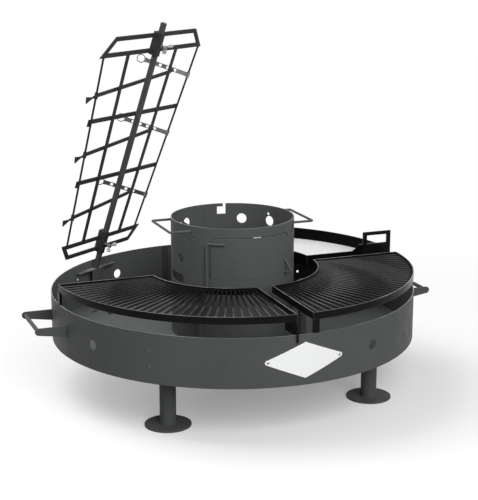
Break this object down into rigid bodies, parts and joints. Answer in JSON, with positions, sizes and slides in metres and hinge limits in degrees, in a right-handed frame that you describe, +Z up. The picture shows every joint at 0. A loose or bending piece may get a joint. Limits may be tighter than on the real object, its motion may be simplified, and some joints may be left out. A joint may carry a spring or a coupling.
{
  "type": "fire pit grill",
  "caption": "Round steel fire pit on legs with a central fire ring and door, quadrant grates, a quadrant griddle and a leaning roasting rack with hinged clamps.",
  "frame": {"origin": "on the ground at the drum's axis", "axes": "+Z up, -Y towards the bare front plate, X along the line of the two side handles"},
  "size_m": [1.3816, 1.216, 1.1773],
  "materials": {
    "drum_steel": "satin dark grey heat paint",
    "dark_steel": "satin dark grey heat paint",
    "black_enamel": "glossy black enamel",
    "rack_steel": "satin dark grey heat paint",
    "zinc": "zinc plated",
    "polished_steel": "polished stainless sheet"
  },
  "bodies": {
    "drum": {"drum_wall": "drum_steel", "drum_floor": "dark_steel", "drum_seam_strip": "dark_steel", "leg_tube_right_front": "drum_steel", "leg_tube_right_back": "drum_steel", "leg_tube_left_back": "drum_steel", "leg_tube_left_front": "drum_steel", "leg_foot_right_front": "drum_steel", "leg_foot_right_back": "drum_steel", "leg_foot_left_back": "drum_steel", "leg_foot_left_front": "drum_steel", "leg_flange_right_front": "drum_steel", "leg_flange_right_back": "drum_steel", "leg_flange_left_back": "drum_steel", "leg_flange_left_front": "drum_steel", "leg_bolts": "zinc", "side_handle_arms_right": "drum_steel", "side_handle_arms_left": "drum_steel", "side_handle_grip_right": "drum_steel", "side_handle_grip_left": "drum_steel", "front_plate": "polished_steel", "front_plate_rivets": "zinc", "inner_posts": "dark_steel", "post_saddles": "dark_steel", "rack_bracket": "drum_steel"},
    "fire_ring": {"ring_wall": "drum_steel", "ring_handle_right": "drum_steel", "ring_handle_left": "drum_steel", "hinge_sleeves": "drum_steel"},
    "door": {"door_panel": "drum_steel", "door_hinge_rod": "drum_steel", "door_handle": "drum_steel"},
    "grate_left": {"grate_left_frame": "black_enamel", "grate_left_bars": "black_enamel", "grate_left_supports": "black_enamel"},
    "grate_right": {"grate_right_frame": "black_enamel", "grate_right_bars": "black_enamel", "grate_right_supports": "black_enamel"},
    "griddle": {"griddle_pan": "black_enamel", "griddle_loops": "black_enamel", "griddle_supports": "black_enamel"},
    "rack_mast": {"rack_spine": "rack_steel"},
    "rack_frame": {"rack_sleeves": "rack_steel", "rack_nuts": "zinc", "rack_top_loop": "rack_steel", "rack_bottom_loop": "rack_steel", "rack_side_rods": "rack_steel", "rack_uprights": "rack_steel", "rack_crossbars": "rack_steel"},
    "arm_low": {"clamp_arm_low": "rack_steel"},
    "arm_middle": {"clamp_arm_middle": "rack_steel"},
    "arm_top": {"clamp_arm_top": "rack_steel"},
    "strap_low": {"ring_strap_low": "zinc"},
    "strap_middle": {"ring_strap_middle": "zinc"},
    "strap_top": {"ring_strap_top": "zinc"},
    "screw_low": {"wing_screw_low": "zinc"},
    "screw_top": {"wing_screw_top": "zinc"}
  },
  "joints": [
    {"name": "ring_lift", "type": "slide", "parent": "drum", "child": "fire_ring", "axis": [0, 0, 1], "range_m": [0, 0.25]},
    {"name": "door_swing", "type": "hinge", "parent": "fire_ring", "child": "door", "pos_m": [-0.14475, -0.14942, 0.45], "axis": [0, 0, -1], "range_deg": [0, 100]},
    {"name": "grate_left_lift", "type": "slide", "parent": "drum", "child": "grate_left", "axis": [0, 0, 1], "range_m": [0, 0.25]},
    {"name": "grate_right_lift", "type": "slide", "parent": "drum", "child": "grate_right", "axis": [0, 0, 1], "range_m": [0, 0.25]},
    {"name": "griddle_lift", "type": "slide", "parent": "drum", "child": "griddle", "axis": [0, 0, 1], "range_m": [0, 0.25]},
    {"name": "mast_lift", "type": "slide", "parent": "drum", "child": "rack_mast", "axis": [0, 0, 1], "range_m": [0, 0.25]},
    {"name": "rack_height", "type": "slide", "parent": "rack_mast", "child": "rack_frame", "axis": [0.2015, -0.2723, 0.9409], "range_m": [-0.02, 0.06]},
    {"name": "arm_swing_low", "type": "hinge", "parent": "rack_frame", "child": "arm_low", "pos_m": [-0.46728, 0.28902, 0.52826], "axis": [0.1164, -0.3329, 0.9357], "range_deg": [0, 55]},
    {"name": "arm_swing_middle", "type": "hinge", "parent": "rack_frame", "child": "arm_middle", "pos_m": [-0.43918, 0.20867, 0.75407], "axis": [0.1164, -0.3329, 0.9357], "range_deg": [0, 55]},
    {"name": "arm_swing_top", "type": "hinge", "parent": "rack_frame", "child": "arm_top", "pos_m": [-0.41413, 0.13703, 0.95542], "axis": [0.1164, -0.3329, 0.9357], "range_deg": [0, 55]},
    {"name": "strap_swing_low", "type": "hinge", "parent": "rack_frame", "child": "strap_low", "pos_m": [-0.13605, 0.52863, 0.54049], "axis": [-0.2844, 0.2087, -0.9357], "range_deg": [0, 165]},
    {"name": "strap_swing_middle", "type": "hinge", "parent": "rack_frame", "child": "strap_middle", "pos_m": [-0.06657, 0.47765, 0.76912], "axis": [-0.2844, 0.2087, -0.9357], "range_deg": [0, 165]},
    {"name": "strap_swing_top", "type": "hinge", "parent": "rack_frame", "child": "strap_top", "pos_m": [-0.0031, 0.43107, 0.978], "axis": [-0.2844, 0.2087, -0.9357], "range_deg": [0, 165]},
    {"name": "screw_turn_low", "type": "hinge", "parent": "rack_frame", "child": "screw_low", "pos_m": [-0.31861, 0.43058, 0.3955], "axis": [0.5597, -0.7563, -0.3387], "range_deg": [0, 360]},
    {"name": "screw_turn_top", "type": "hinge", "parent": "rack_frame", "child": "screw_top", "pos_m": [-0.1677, 0.22663, 1.10022], "axis": [0.5597, -0.7563, -0.3387], "range_deg": [0, 360]}
  ],
  "couplings": [
    {"joint": "strap_swing_low", "follows": "arm_swing_low", "ratio": 3},
    {"joint": "strap_swing_middle", "follows": "arm_swing_middle", "ratio": 3},
    {"joint": "strap_swing_top", "follows": "arm_swing_top", "ratio": 3}
  ]
}
